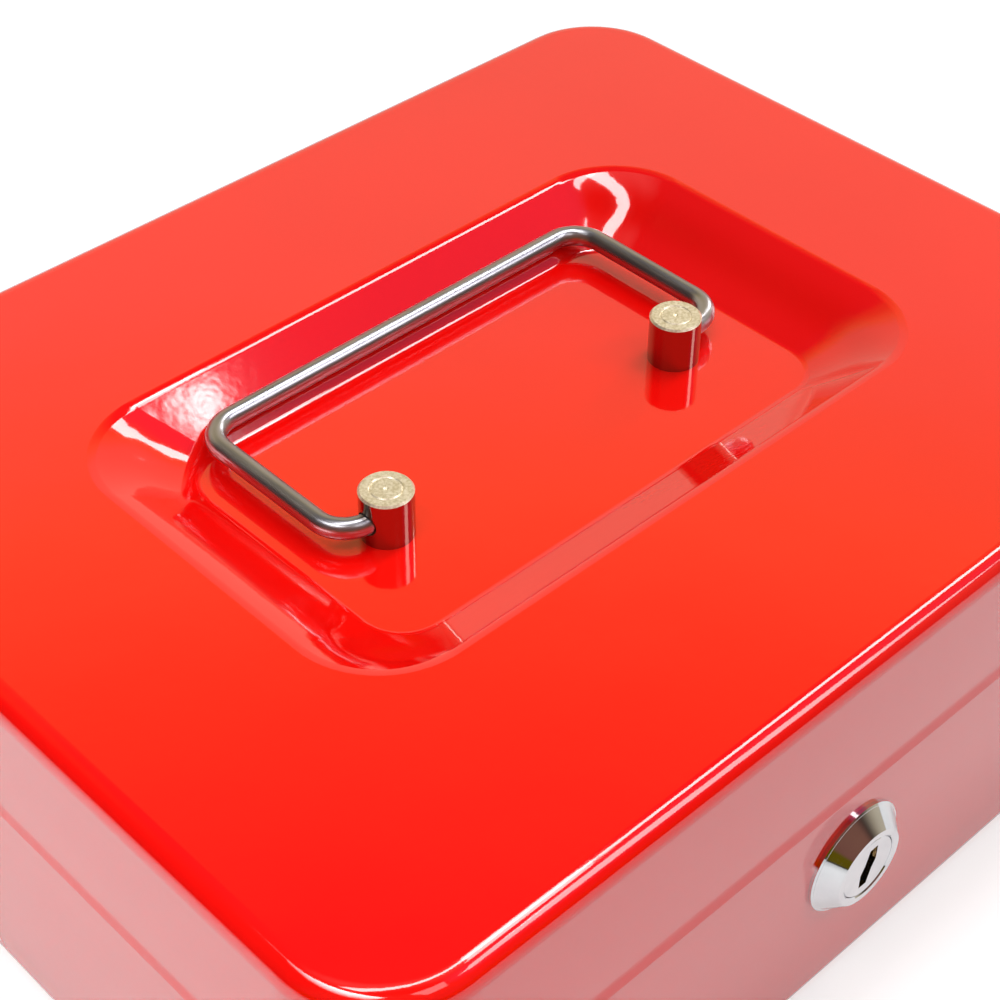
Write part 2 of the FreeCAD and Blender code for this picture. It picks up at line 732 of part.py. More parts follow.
def lock_housing():
    """Bezel and barrel in one casting, with flats that stop it turning in the wall. A narrow ledge
    parts the bezel's rim from its cone."""
    body = new_body("lock_housing")
    section = sketch_on(body, "housing_section", "XZ_Plane")
    bore = plug_radius + S.fit
    face = S.bezel_face_diameter / 2
    base = S.bezel_diameter / 2
    barrel = S.barrel_diameter / 2
    front = S.bezel_projection
    profile = [
        (bore + S.plug_chamfer, front), (bore, front - S.plug_chamfer), (bore, -S.barrel_length),
        (barrel, -S.barrel_length), (barrel, ZERO), (base, ZERO),
        (base, S.bezel_rim - S.bezel_rim_chamfer), (base - S.bezel_rim_chamfer, S.bezel_rim),
        (base - S.bezel_rim_ledge, S.bezel_rim), (face, front),
    ]
    outline(section, profile)
    revolve(body, section)
    flats = sketch_on(body, "barrel_flats", "XY_Plane")
    flat = S.barrel_across_flats / 2
    for near, far in ((flat, barrel + CLEAR), (-barrel - CLEAR, -flat)):
        rectangle(flats, near, far, -barrel - CLEAR, barrel + CLEAR)
    pocket(body, flats, S.barrel_length + CLEAR)
    place_in_lock(body)


def lock_washer():
    body = new_body("lock_washer")
    ring = sketch_on(body, "lock_washer_ring", "XY_Plane", -S.sheet_metal)
    circle(ring, S.lock_washer_diameter / 2)
    barrel_section(ring, S.fit)
    pad(body, ring, S.lock_washer_thickness, reverse=True)
    place_in_lock(body)


def lock_nut():
    """Hexagon nut that draws the bezel against the wall."""
    body = new_body("lock_nut")
    front = -(S.sheet_metal + S.lock_washer_thickness)
    hexagon = sketch_on(body, "nut_hexagon", "XY_Plane", front)
    corner_radius = S.nut_across_flats / 2 / math.cos(math.pi / NUT_SIDES)
    turns = [2 * math.pi * step / NUT_SIDES for step in range(NUT_SIDES)]
    outline(hexagon, [(corner_radius * math.cos(turn), corner_radius * math.sin(turn)) for turn in turns])
    circle(hexagon, S.barrel_diameter / 2 + S.fit)
    pad(body, hexagon, S.nut_thickness, reverse=True)
    bored = S.barrel_diameter / 2 + S.fit * 2
    rims = level_items(body.Tip.Shape.Edges, "Edge", front - S.nut_thickness, bored, bored)
    dress(body, "Chamfer", "Size", rims, S.nut_chamfer)
    place_in_lock(body)


def lock_plug():
    """Turning core with the keyway, the wafer slots and a square tenon for the cam."""
    body = new_body("lock_plug")
    face = S.bezel_projection - S.plug_recess
    core = sketch_on(body, "plug_core", "XY_Plane", face)
    circle(core, plug_radius)
    pad(body, core, face + cam_back, reverse=True)
    rim = level_items(body.Tip.Shape.Edges, "Edge", face)
    dress(body, "Chamfer", "Size", rim, S.plug_chamfer)
    tenon = sketch_on(body, "plug_tenon", "XY_Plane", -cam_back)
    centred_rectangle(tenon, S.tenon_square, S.tenon_square)
    pad(body, tenon, S.cam_thickness - S.fit, reverse=True)
    keyway = sketch_on(body, "keyway", "XY_Plane", face + CLEAR)
    half_height = S.keyway_height / 2
    half_slot = S.keyway_width / 2
    step = S.keyway_step
    profile = [
        (-half_slot - step, -half_height), (half_slot - step, -half_height), (half_slot, -step),
        (half_slot + step, step), (half_slot + step, half_height), (step - half_slot, half_height),
        (-half_slot, step), (-half_slot - step, -step),
    ]
    outline(keyway, profile)
    pocket(body, keyway, S.keyway_depth + CLEAR)
    slot = sketch_on(body, "wafer_slot", "XY_Plane", face - S.wafer_first + S.fit)
    centred_rectangle(slot, S.wafer_width + S.fit * 2, S.plug_diameter + CLEAR)
    slot_cut = pocket(body, slot, S.wafer_thickness + S.fit * 2)
    repeat_wafers(body, slot_cut)
    thread = sketch_on(body, "plug_thread", "XY_Plane", -cam_back - S.cam_thickness - CLEAR)
    circle(thread, S.cam_screw_diameter / 2 + S.fit)
    pocket(body, thread, S.cam_screw_length + CLEAR, reverse=True)
    place_in_lock(body)


def repeat_wafers(body, original):
    """One slot or wafer after another along the plug."""
    row = body.newObject("PartDesign::LinearPattern", f"{original.Name}_row")
    row.Originals = [original]
    row.Direction = (origin_feature(body, "Z_Axis"), [""])
    row.Reversed = True
    row.setExpression("Length", (S.wafer_pitch * (S.wafer_count - 1)).formula)
    row.setExpression("Occurrences", S.wafer_count.formula)
    body.Tip = row
    doc.recompute()


def lock_wafers():
    """Brass wafers, drawn in to the plug as a key would set them."""
    body = new_body("lock_wafers")
    plate = sketch_on(body, "wafer_plate", "XY_Plane", S.bezel_projection - S.plug_recess - S.wafer_first)
    centred_rectangle(plate, S.wafer_width, S.wafer_height, S.wafer_corner)
    centred_rectangle(plate, S.wafer_window_width, S.wafer_window_height)
    wafer = pad(body, plate, S.wafer_thickness, reverse=True)
    repeat_wafers(body, wafer)
    place_in_lock(body)


def hook_section(sketch):
    """Part of a ring about the plug, from the arm forwards by the hook's sweep."""
    inner = S.hook_inner_radius
    outer = S.hook_outer_radius
    start = math.pi
    end = math.pi - math.radians(S.hook_sweep.value)

    def at(radius, angle):
        return FreeCAD.Vector(radius.value * math.cos(angle), radius.value * math.sin(angle), 0)

    middle = (start + end) / 2
    far = sketch.addGeometry(Part.Arc(at(outer, end), at(outer, middle), at(outer, start)))
    near = sketch.addGeometry(Part.Arc(at(inner, end), at(inner, middle), at(inner, start)))
    heel = sketch.addGeometry(Part.LineSegment(at(outer, start), at(inner, start)))
    nose = sketch.addGeometry(Part.LineSegment(at(inner, end), at(outer, end)))
    joins = ((far, 2, heel, 1), (heel, 2, near, 2), (near, 1, nose, 1), (nose, 2, far, 1))
    for join in joins:
        sketch.addConstraint(Sketcher.Constraint("Coincident", *join))
    for arc, radius in ((far, outer), (near, inner)):
        sketch.addConstraint(Sketcher.Constraint("Coincident", arc, 3, -1, 1))
        bind(sketch, Sketcher.Constraint("Radius", arc, radius.value), radius)
    sketch.addConstraint(Sketcher.Constraint("PointOnObject", heel, 1, -1))
    sketch.addConstraint(Sketcher.Constraint("PointOnObject", heel, 2, -1))
    sketch.addConstraint(Sketcher.Constraint("PointOnObject", -1, 1, nose))
    lean = Size(f"(180 - {S.hook_sweep.formula})", 180 - S.hook_sweep.value)
    index = sketch.addConstraint(Sketcher.Constraint("Angle", nose, math.radians(lean.value)))
    sketch.setExpression(f"Constraints[{index}]", f"{lean.formula} * 1 deg")


def lock_cam():
    """Hook cam. Its arm points left when the lid is free, and a quarter turn brings it up."""
    body = new_body("lock_cam")
    front = -cam_back
    arm = sketch_on(body, "cam_arm", "XY_Plane", front)
    half = S.cam_arm_width / 2
    rectangle(arm, -S.cam_arm_reach, ZERO, -half, half)
    hub = sketch_on(body, "cam_hub", "XY_Plane", front)
    circle(hub, S.cam_hub_diameter / 2)
    hook = sketch_on(body, "cam_hook", "XY_Plane", front)
    hook_section(hook)
    for sketch in (arm, hub, hook):
        pad(body, sketch, S.cam_thickness, reverse=True)
    square = sketch_on(body, "cam_square", "XY_Plane", front + CLEAR)
    opening = S.tenon_square + S.fit * 2
    centred_rectangle(square, opening, opening)
    pocket(body, square, S.cam_thickness + 2 * CLEAR)
    place_in_lock(body)


def cam_washer():
    body = new_body("cam_washer")
    ring = sketch_on(body, "cam_washer_ring", "XY_Plane", -cam_back - S.cam_thickness)
    circle(ring, S.cam_washer_diameter / 2)
    circle(ring, S.cam_screw_diameter / 2 + S.fit)
    pad(body, ring, S.cam_washer_thickness, reverse=True)
    place_in_lock(body)


def cam_screw():
    """Pan head screw that holds the cam on the plug."""
    body = new_body("cam_screw")
    section = sketch_on(body, "cam_screw_section", "XZ_Plane")
    seat = -cam_back - S.cam_thickness - S.cam_washer_thickness
    shank = S.cam_screw_diameter / 2
    head = S.cam_screw_head_diameter / 2
    head_end = seat - S.cam_screw_head_height
    tip = seat + S.cam_screw_length
    chamfer = S.cam_screw_head_chamfer
    profile = [
        (ZERO, head_end), (head - chamfer, head_end), (head, head_end + chamfer),
        (head, seat), (shank, seat), (shank, tip), (ZERO, tip),
    ]
    outline(section, profile)
    revolve(body, section)
    place_in_lock(body)


def lid_catch():
    """Bracket welded inside the lid's front. The hook cam passes through its window."""
    body = new_body("lid_catch")
    skirt_face = -(half_depth - S.sheet_metal)
    flange_back = skirt_face + S.catch_metal
    left = lock_x + S.catch_from_lock
    flange_low = lip_top + S.catch_above_lip
    leg_front = -half_depth + S.catch_front_room
    leg_back = -half_depth + S.catch_reach
    window_low = S.lock_height + S.hook_inner_radius - S.catch_play_below
    window_high = S.lock_height + S.hook_outer_radius + S.catch_play
    leg_low = window_low - S.catch_bar
    slope = S.catch_reach - S.catch_front_room
    leg = sketch_on(body, "catch_leg", "YZ_Plane", left)
    profile = [
        (skirt_face, flange_low), (leg_front, flange_low), (leg_front, leg_low), (leg_back, leg_low),
        (leg_back, S.catch_top - slope), (leg_front, S.catch_top), (skirt_face, S.catch_top),
    ]
    outline(leg, profile)
    pad(body, leg, S.catch_metal)
    flange = sketch_on(body, "catch_flange_section", "YZ_Plane", left)
    rectangle(flange, skirt_face, flange_back, flange_low, S.catch_top)
    pad(body, flange, S.catch_flange)
    window = sketch_on(body, "catch_window", "YZ_Plane", left - CLEAR)
    window_front = -half_depth + cam_back - S.catch_play
    window_back = -half_depth + cam_back + S.cam_thickness + S.catch_play
    rectangle(window, window_front, window_back, window_low, window_high)
    pocket(body, window, S.catch_metal + 2 * CLEAR, reverse=True)


# Coin tray

def coin_tray():
    """Moulded tray that hangs by its rim on the pan's ledge: round-bottomed coin cups at the back, flat
    pockets in front, and a bay in the front edge that clears the lock and the catch."""
    body = new_body("coin_tray")
    rim_low = lip_top + S.tray_rest_gap
    rim_top = rim_low + S.tray_wall
    rim_inset = lip_inset + S.ledge_width - S.tray_rim_overlap
    wall_inset = lip_inset + S.ledge_width + S.tray_side_play
    outer_x = half_width - wall_inset
    outer_y = half_depth - wall_inset
    inner_x = outer_x - S.tray_wall
    inner_y = outer_y - S.tray_wall
    inner_corner = S.corner_radius - wall_inset - S.tray_wall
    cup_front = inner_y - S.coin_cup_length
    notch_left = lock_x - S.tray_notch_width / 2
    notch_right = lock_x + S.tray_notch_width / 2
    notch_back = -half_depth + S.tray_notch_depth
    wall = S.tray_wall

    rim = sketch_on(body, "tray_rim", "XY_Plane", rim_low)
    inset_rectangle(rim, rim_inset)
    pad(body, rim, wall)

    front = sketch_on(body, "tray_front_block", "XY_Plane", rim_low)
    rectangle(front, -outer_x, outer_x, -outer_y, cup_front)
    pad(body, front, S.tray_depth - wall, reverse=True)

    cup_pitch = (inner_x * 2 + wall) / S.coin_cups
    cup_half = (cup_pitch - wall) / 2
    first_cup = -inner_x + cup_half
    cup_floor = rim_top - S.coin_cup_depth
    trough = sketch_on(body, "cup_outside", "XZ_Plane", -outer_y)
    cup_section(trough, first_cup, cup_half + wall, cup_floor - wall, rim_low)
    trough_pad = pad(body, trough, S.coin_cup_length + wall * 2)
    repeat_cups(body, [trough_pad], cup_pitch)

    trim = sketch_on(body, "tray_trim", "XY_Plane", rim_low)
    inset_rectangle(trim, wall_inset)
    centred_rectangle(trim, S.box_width, S.box_depth)
    pocket(body, trim, S.tray_depth + CLEAR)

    form = doc.addObject("PartDesign::Body", "coin_cup_form")
    hollow = sketch_on(form, "cup_inside", "XZ_Plane", -inner_y)
    cup_section(hollow, first_cup, cup_half, cup_floor, rim_top + CLEAR)
    cup = pad(form, hollow, S.coin_cup_length)
    rounded = [cup]
    for end, radius in ((inner_y, inner_corner), (cup_front, S.coin_cup_scoop)):
        rounded.append(dress(form, "Fillet", "Radius", cup_end_edges(form, end, rim_top), radius))
    repeat_cups(form, rounded, cup_pitch)
    hollows = body.newObject("PartDesign::Boolean", "cup_hollows")
    hollows.Type = "Cut"
    hollows.setObjects([form])
    doc.recompute()

    pockets = sketch_on(body, "front_pockets", "XY_Plane", rim_top)
    back = cup_front - wall
    small = S.tray_pocket_corner
    left_radii = [inner_corner, small, small, small]
    right_radii = [small, inner_corner, small, small]
    rectangle(pockets, -inner_x, notch_left - wall, -inner_y, back, radii=left_radii)
    rectangle(pockets, notch_left, notch_right, notch_back + wall, back, radii=[small] * 4)
    rectangle(pockets, notch_right + wall, inner_x, -inner_y, back, radii=right_radii)
    pocket(body, pockets, S.tray_depth - wall)
    fillet_level(body, rim_top - S.tray_depth + wall, S.tray_pocket_fillet)

    bay = sketch_on(body, "lock_bay", "XY_Plane", rim_top + CLEAR)
    rectangle(bay, notch_left, notch_right, -half_depth, notch_back)
    pocket(body, bay, S.tray_depth + 2 * CLEAR)


def cup_end_edges(body, end, rim_top):
    """The edges where the cups' end walls at this depth meet their sides and bottoms."""
    names = []
    for index, edge in enumerate(body.Tip.Shape.Edges, start=1):
        box = edge.BoundBox
        in_wall = abs(box.YMin - end.value) < NEAR and abs(box.YMax - end.value) < NEAR
        if in_wall and box.ZMin < rim_top.value - NEAR:
            names.append(f"Edge{index}")
    return names


def cup_section(sketch, middle, half, floor, top):
    """Upright sides that run into a half-round bottom."""
    spring = floor + half
    left, right = middle - half, middle + half
    at_left = vector((left, spring))
    at_right = vector((right, spring))
    bowl = sketch.addGeometry(Part.Arc(at_left, vector((middle, floor)), at_right))
    right_side = sketch.addGeometry(Part.LineSegment(at_right, vector((right, top))))
    lid_line = sketch.addGeometry(Part.LineSegment(vector((right, top)), vector((left, top))))
    left_side = sketch.addGeometry(Part.LineSegment(vector((left, top)), at_left))
    sketch.addConstraint(Sketcher.Constraint("Tangent", bowl, 2, right_side, 1))
    sketch.addConstraint(Sketcher.Constraint("Tangent", left_side, 2, bowl, 1))
    sketch.addConstraint(Sketcher.Constraint("Coincident", right_side, 2, lid_line, 1))
    sketch.addConstraint(Sketcher.Constraint("Coincident", lid_line, 2, left_side, 1))
    sketch.addConstraint(Sketcher.Constraint("Horizontal", lid_line))
    sketch.addConstraint(Sketcher.Constraint("Vertical", right_side))
    bind_point(sketch, bowl, 3, (middle, spring))
    bind(sketch, Sketcher.Constraint("Radius", bowl, half.value), half)
    bind(sketch, Sketcher.Constraint("DistanceY", lid_line, 1, top.value), top)


def repeat_cups(body, originals, pitch):
    row = body.newObject("PartDesign::LinearPattern", f"{originals[0].Name}_row")
    row.Originals = originals
    row.Direction = (origin_feature(body, "X_Axis"), [""])
    row.setExpression("Length", (pitch * (S.coin_cups - 1)).formula)
    row.setExpression("Occurrences", S.coin_cups.formula)
    body.Tip = row
    doc.recompute()


body_pan()
lid_shell()
for hand, side_sign in (("left", -1), ("right", 1)):
    hinge_leaf(f"hinge_leaf_body_{hand}", side_sign, on_lid=False)
    hinge_leaf(f"hinge_leaf_lid_{hand}", side_sign, on_lid=True)
    hinge_pin(f"hinge_pin_{hand}", side_sign)
    handle_post(f"handle_post_{hand}", side_sign)
post_washers()
carry_handle()
lock_housing()
lock_washer()
lock_nut()
lock_plug()
lock_wafers()
lock_cam()
cam_washer()
cam_screw()
lid_catch()
coin_tray()
doc.recompute()

for item in doc.Objects:
    if {"Invalid", "Error"} & set(item.State):
        raise RuntimeError(f"{item.Label} failed: {item.State}")
for item in sub_parts:
    if item.Shape.isNull() or not item.Shape.isValid():
        raise RuntimeError(f"{item.Label} has no valid shape")

os.makedirs("parts", exist_ok=True)
for item in sub_parts:
    item.Shape.exportStep(f"parts/{item.Label}.step")
    print(f"{item.Label}: {len(item.Shape.Solids)} solid(s), {item.Shape.Volume:.1f} mm3")
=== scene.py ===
import json
import math

import bmesh
import bpy
from mathutils import Matrix, Quaternion, Vector

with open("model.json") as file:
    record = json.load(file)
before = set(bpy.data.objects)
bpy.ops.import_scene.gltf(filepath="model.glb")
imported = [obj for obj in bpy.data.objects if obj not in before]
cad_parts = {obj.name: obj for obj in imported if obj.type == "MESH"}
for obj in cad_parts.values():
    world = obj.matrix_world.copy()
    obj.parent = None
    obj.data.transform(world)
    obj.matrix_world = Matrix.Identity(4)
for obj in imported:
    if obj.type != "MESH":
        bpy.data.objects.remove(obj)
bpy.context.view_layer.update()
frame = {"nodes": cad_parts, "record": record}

# A red cash box in a white studio. Everything is in metres, in the CAD model's own frame.

MM = 0.001
# A new colour ramp already has this many stops
RAMP_OWN_STOPS = 2


def linear(hex_colour):
    """An sRGB hex colour as the linear RGBA that a shader takes."""
    channels = []
    for start in (1, 3, 5):
        share = int(hex_colour[start:start + 2], 16) / 255
        if share <= 0.04045:
            channels.append(share / 12.92)
        else:
            channels.append(((share + 0.055) / 1.055) ** 2.4)
    return (*channels, 1.0)


def add_node(tree, kind, inputs=None, stops=(), **settings):
    """A node with its settings made and its inputs set to a value or linked from an output. The stops
    of a colour ramp come lowest first, each a position and a hex colour."""
    node = tree.nodes.new(kind)
    for name, value in settings.items():
        setattr(node, name, value)
    for socket, value in (inputs or {}).items():
        if isinstance(value, bpy.types.NodeSocket):
            tree.links.new(value, node.inputs[socket])
        else:
            node.inputs[socket].default_value = value
    for index, (position, colour) in enumerate(stops):
        ramp = node.color_ramp.elements
        stop = ramp[index] if index < RAMP_OWN_STOPS else ramp.new(position)
        stop.position = position
        stop.color = linear(colour)
    return node


def per_mm(size):
    """The texture scale whose pattern repeats about every size millimetres."""
    return 1 / (size * MM)


def new_finish(name):
    """A material with an empty tree, its output and the coordinates that its patterns read."""
    finish = bpy.data.materials.new(name)
    finish.use_nodes = True
    tree = finish.node_tree
    tree.nodes.clear()
    output = add_node(tree, "ShaderNodeOutputMaterial")
    place = add_node(tree, "ShaderNodeTexCoord")
    return finish, tree, output, place


# Finishes

WELL_RIM = 90 * MM
WELL_FLOOR = 80 * MM
WELL_HALF_WIDTH = 80 * MM
WELL_HALF_DEPTH = 50 * MM
WELL_END_STARTS = 56 * MM
WELL_END_FULL = 70 * MM
WELL_ROUNDING = 0.37 * MM
LEFT_END_SHARE = 0.5


def dusted_red(tree, spot, cloud):
    """The paint's colour: red that drifts a little, with a few pale grains of dust under it."""
    shade = add_node(
        tree, "ShaderNodeValToRGB", {"Fac": cloud}, stops=((0.35, "#f00604"), (0.65, "#f40a05"))
    )
    # Grains some 0.4 mm across, in about one cell of 30 mm in five
    cell = add_node(tree, "ShaderNodeTexVoronoi", {"Vector": spot, "Scale": per_mm(30)})
    speck = add_node(tree, "ShaderNodeMath", {0: cell.outputs["Distance"], 1: 0.007}, operation="LESS_THAN")
    lot = add_node(tree, "ShaderNodeSeparateColor", {"Color": cell.outputs["Color"]})
    chosen = add_node(tree, "ShaderNodeMath", {0: lot.outputs["Red"], 1: 0.8}, operation="GREATER_THAN")
    nib = add_node(
        tree,
        "ShaderNodeMath",
        {0: speck.outputs["Value"], 1: chosen.outputs["Value"]},
        operation="MULTIPLY",
    )
    paint = add_node(
        tree,
        "ShaderNodeMix",
        {0: nib.outputs["Value"], 6: shade.outputs["Color"], 7: linear("#ff8a70")},
        data_type="RGBA",
    )
    return paint.outputs[2]


def drawn_surface(tree, spot):
    """The paint's surface: orange peel, the sheet's long waves, and the soft ends of the lid's well."""
    peel = add_node(tree, "ShaderNodeTexNoise", {"Vector": spot, "Scale": per_mm(2.2), "Detail": 1.0})
    peel_bump = add_node(
        tree, "ShaderNodeBump", {"Height": peel.outputs["Fac"], "Distance": 0.008 * MM, "Strength": 1.0}
    )
    wave = add_node(tree, "ShaderNodeTexNoise", {"Vector": spot, "Scale": per_mm(22), "Detail": 1.0})
    wave_bump = add_node(
        tree,
        "ShaderNodeBump",
        {
            "Height": wave.outputs["Fac"],
            "Distance": 0.05 * MM,
            "Strength": 1.0,
            "Normal": peel_bump.outputs["Normal"],
        },
    )
    # The draw rounds the well's ends over the rim and into the floor, which bends a lamp's streak
    axis = add_node(tree, "ShaderNodeSeparateXYZ", {"Vector": spot})
    drop = add_node(
        tree,
        "ShaderNodeMapRange",
        {"Value": axis.outputs["Z"], "From Min": WELL_RIM, "From Max": WELL_FLOOR, "To Max": 2 * math.pi},
    )
    bend = add_node(tree, "ShaderNodeMath", {0: drop.outputs["Result"]}, operation="SINE")
    left_end = add_node(
        tree,
        "ShaderNodeMapRange",
        {
            "Value": axis.outputs["X"],
            "From Min": -WELL_END_FULL,
            "From Max": -WELL_END_STARTS,
            "To Min": LEFT_END_SHARE,
            "To Max": 0.0,
        },
        interpolation_type="SMOOTHSTEP",
    )
    right_end = add_node(
        tree,
        "ShaderNodeMapRange",
        {"Value": axis.outputs["X"], "From Min": WELL_END_STARTS, "From Max": WELL_END_FULL},
        interpolation_type="SMOOTHSTEP",
    )
    toward_end = add_node(
        tree,
        "ShaderNodeMath",
        {0: left_end.outputs["Result"], 1: right_end.outputs["Result"]},
        operation="ADD",
    )
    in_width = add_node(
        tree, "ShaderNodeMath", {0: axis.outputs["X"], 1: 0.0, 2: WELL_HALF_WIDTH}, operation="COMPARE"
    )
    in_depth = add_node(
        tree, "ShaderNodeMath", {0: axis.outputs["Y"], 1: 0.0, 2: WELL_HALF_DEPTH}, operation="COMPARE"
    )
    rounded = bend.outputs["Value"]
    for limit in (toward_end, in_width, in_depth):
        kept = add_node(
            tree, "ShaderNodeMath", {0: rounded, 1: limit.outputs["Value"]}, operation="MULTIPLY"
        )
        rounded = kept.outputs["Value"]
    surface = add_node(
        tree,
        "ShaderNodeBump",
        {
            "Height": rounded,
            "Distance": WELL_ROUNDING,
            "Strength": 1.0,
            "Normal": wave_bump.outputs["Normal"],
        },
    )
    return surface.outputs["Normal"]


def stove_enamel():
    """Gloss stove enamel on drawn sheet. The eye gets a pure red under a clear, slightly rippled
    reflection: fine orange peel from the spray, and long soft waves where the sheet was drawn."""
    finish, tree, output, place = new_finish("red_stove_enamel")
    spot = place.outputs["Object"]
    cloud = add_node(tree, "ShaderNodeTexNoise", {"Vector": spot, "Scale": per_mm(60), "Detail": 2.0})
    gloss = add_node(
        tree, "ShaderNodeMapRange", {"Value": cloud.outputs["Fac"], "To Min": 0.06, "To Max": 0.1}
    )
    surface = drawn_surface(tree, spot)
    shader = add_node(
        tree,
        "ShaderNodeBsdfPrincipled",
        {
            "Base Color": dusted_red(tree, spot, cloud.outputs["Fac"]),
            "Roughness": gloss.outputs["Result"],
            "IOR": 1.5,
            "Coat Weight": 1.0,
            "Coat Roughness": 0.02,
            "Coat IOR": 1.5,
            "Normal": surface,
            "Coat Normal": surface,
        },
    )
    tree.links.new(shader.outputs["BSDF"], output.inputs["Surface"])
    return finish


def metal(name, dark, pale, streak, roughness, bump):
    """A plated or drawn metal. In millimetres, streak is the length of its grain along each axis and
    bump is the grain's depth."""
    finish, tree, output, place = new_finish(name)
    stretched = add_node(
        tree,
        "ShaderNodeMapping",
        {"Vector": place.outputs["Object"], "Scale": [per_mm(size) for size in streak]},
    )
    grain = add_node(
        tree,
        "ShaderNodeTexNoise",
        {"Vector": stretched.outputs["Vector"], "Scale": 1.0, "Detail": 3.0},
    )
    shade = add_node(
        tree, "ShaderNodeValToRGB", {"Fac": grain.outputs["Fac"]}, stops=((0.3, dark), (0.7, pale))
    )
    gloss = add_node(
        tree,
        "ShaderNodeMapRange",
        {"Value": grain.outputs["Fac"], "To Min": roughness[0], "To Max": roughness[1]},
    )
    surface = add_node(
        tree,
        "ShaderNodeBump",
        {"Height": grain.outputs["Fac"], "Distance": bump * MM, "Strength": 1.0},
    )
    shader = add_node(
        tree,
        "ShaderNodeBsdfPrincipled",
        {
            "Base Color": shade.outputs["Color"],
            "Metallic": 1.0,
            "Roughness": gloss.outputs["Result"],
            "Normal": surface.outputs["Normal"],
        },
    )
    tree.links.new(shader.outputs["BSDF"], output.inputs["Surface"])
    return finish


POST_X = 40.2 * MM
POST_Y = -7.3 * MM
TOOL_MARK = 0.7 * MM
POST_SIDE_ROUGHNESS = 0.07


def turned_nickel():
    """Nickel plate on a turned post. The sides are polished and mirror the red round them. The top is faced
    on the lathe, so it is duller, with rings about the middle. The top and its chamfer are painted paler and
    part matt, a painted highlight that makes them look lit."""
    finish, tree, output, place = new_finish("turned_nickel_plate")
    spot = add_node(tree, "ShaderNodeSeparateXYZ", {"Vector": place.outputs["Object"]})
    facing = add_node(tree, "ShaderNodeSeparateXYZ", {"Vector": place.outputs["Normal"]})
    on_top = add_node(
        tree,
        "ShaderNodeMapRange",
        {"Value": facing.outputs["Z"], "From Min": 0.5, "From Max": 0.7},
    )
    # The two posts are mirror images, so one distance serves both
    mirrored_x = add_node(tree, "ShaderNodeMath", {0: spot.outputs["X"]}, operation="ABSOLUTE")
    level_place = add_node(
        tree,
        "ShaderNodeCombineXYZ",
        {"X": mirrored_x.outputs["Value"], "Y": spot.outputs["Y"]},
    )
    from_axis = add_node(
        tree,
        "ShaderNodeVectorMath",
        {0: level_place.outputs["Vector"], 1: (POST_X, POST_Y, 0.0)},
        operation="DISTANCE",
    )
    # The facing marks of a lathe tool, about 0.1 mm apart, drawn at 0.7 mm so that they show
    rings = add_node(
        tree,
        "ShaderNodeMath",
        {0: from_axis.outputs["Value"], 1: 2 * math.pi / TOOL_MARK},
        operation="MULTIPLY",
    )
    ridge = add_node(tree, "ShaderNodeMath", {0: rings.outputs["Value"]}, operation="SINE")
    marks = add_node(
        tree,
        "ShaderNodeMath",
        {0: ridge.outputs["Value"], 1: on_top.outputs["Result"]},
        operation="MULTIPLY",
    )
    speckle = add_node(
        tree,
        "ShaderNodeTexNoise",
        {"Vector": place.outputs["Object"], "Scale": per_mm(0.6), "Detail": 3.0},
    )
    uneven = add_node(
        tree,
        "ShaderNodeMath",
        {0: speckle.outputs["Fac"], 1: marks.outputs["Value"]},
        operation="MULTIPLY",
    )
    surface = add_node(
        tree, "ShaderNodeBump", {"Height": uneven.outputs["Value"], "Distance": 0.012 * MM, "Strength": 1.0}
    )
    # Painted highlight: the top's mottled colour is paler than the sides' colour
    mottled_painted_pale_top = add_node(
        tree,
        "ShaderNodeValToRGB",
        {"Fac": speckle.outputs["Fac"]},
        stops=((0.35, "#e0d4b2"), (0.65, "#fff6e0")),
    )
    shade = add_node(
        tree,
        "ShaderNodeMix",
        {0: on_top.outputs["Result"], 6: linear("#a89c90"), 7: mottled_painted_pale_top.outputs["Color"]},
        data_type="RGBA",
    )
    dull = add_node(
        tree,
        "ShaderNodeMapRange",
        {"Value": speckle.outputs["Fac"], "To Min": 0.2, "To Max": 0.36},
    )
    gloss = add_node(
        tree,
        "ShaderNodeMath",
        {0: dull.outputs["Result"], 1: on_top.outputs["Result"], 2: POST_SIDE_ROUGHNESS},
        operation="MULTIPLY_ADD",
    )
    # Painted highlight: the top and chamfer are made part matt white, which brightens them
    metallic_with_painted_matt_top = add_node(
        tree,
        "ShaderNodeMapRange",
        {"Value": on_top.outputs["Result"], "To Min": 1.0, "To Max": 0.75},
    )
    shader = add_node(
        tree,
        "ShaderNodeBsdfPrincipled",
        {
            "Base Color": shade.outputs[2],
            "Metallic": metallic_with_painted_matt_top.outputs["Result"],
            "Roughness": gloss.outputs["Value"],
            "Normal": surface.outputs["Normal"],
        },
    )
    tree.links.new(shader.outputs["BSDF"], output.inputs["Surface"])
    return finish


def tray_plastic():
    """Black polystyrene, moulded in a finely sparked tool, which leaves an even, dull grain."""
    finish, tree, output, place = new_finish("black_tray_polystyrene")
    spot = place.outputs["Object"]
    grit = add_node(tree, "ShaderNodeTexNoise", {"Vector": spot, "Scale": per_mm(0.5), "Detail": 2.0})
    flow = add_node(tree, "ShaderNodeTexNoise", {"Vector": spot, "Scale": per_mm(40), "Detail": 2.0})
    shade = add_node(
        tree,
        "ShaderNodeValToRGB",
        {"Fac": flow.outputs["Fac"]},
        stops=((0.3, "#17171a"), (0.7, "#1e1e21")),
    )
    gloss = add_node(
        tree, "ShaderNodeMapRange", {"Value": grit.outputs["Fac"], "To Min": 0.4, "To Max": 0.6}
    )
    surface = add_node(
        tree, "ShaderNodeBump", {"Height": grit.outputs["Fac"], "Distance": 0.03 * MM, "Strength": 1.0}
    )
    shader = add_node(
        tree,
        "ShaderNodeBsdfPrincipled",
        {
            "Base Color": shade.outputs["Color"],
            "Roughness": gloss.outputs["Result"],
            "IOR": 1.59,
            "Normal": surface.outputs["Normal"],
        },
    )
    tree.links.new(shader.outputs["BSDF"], output.inputs["Surface"])
    return finish


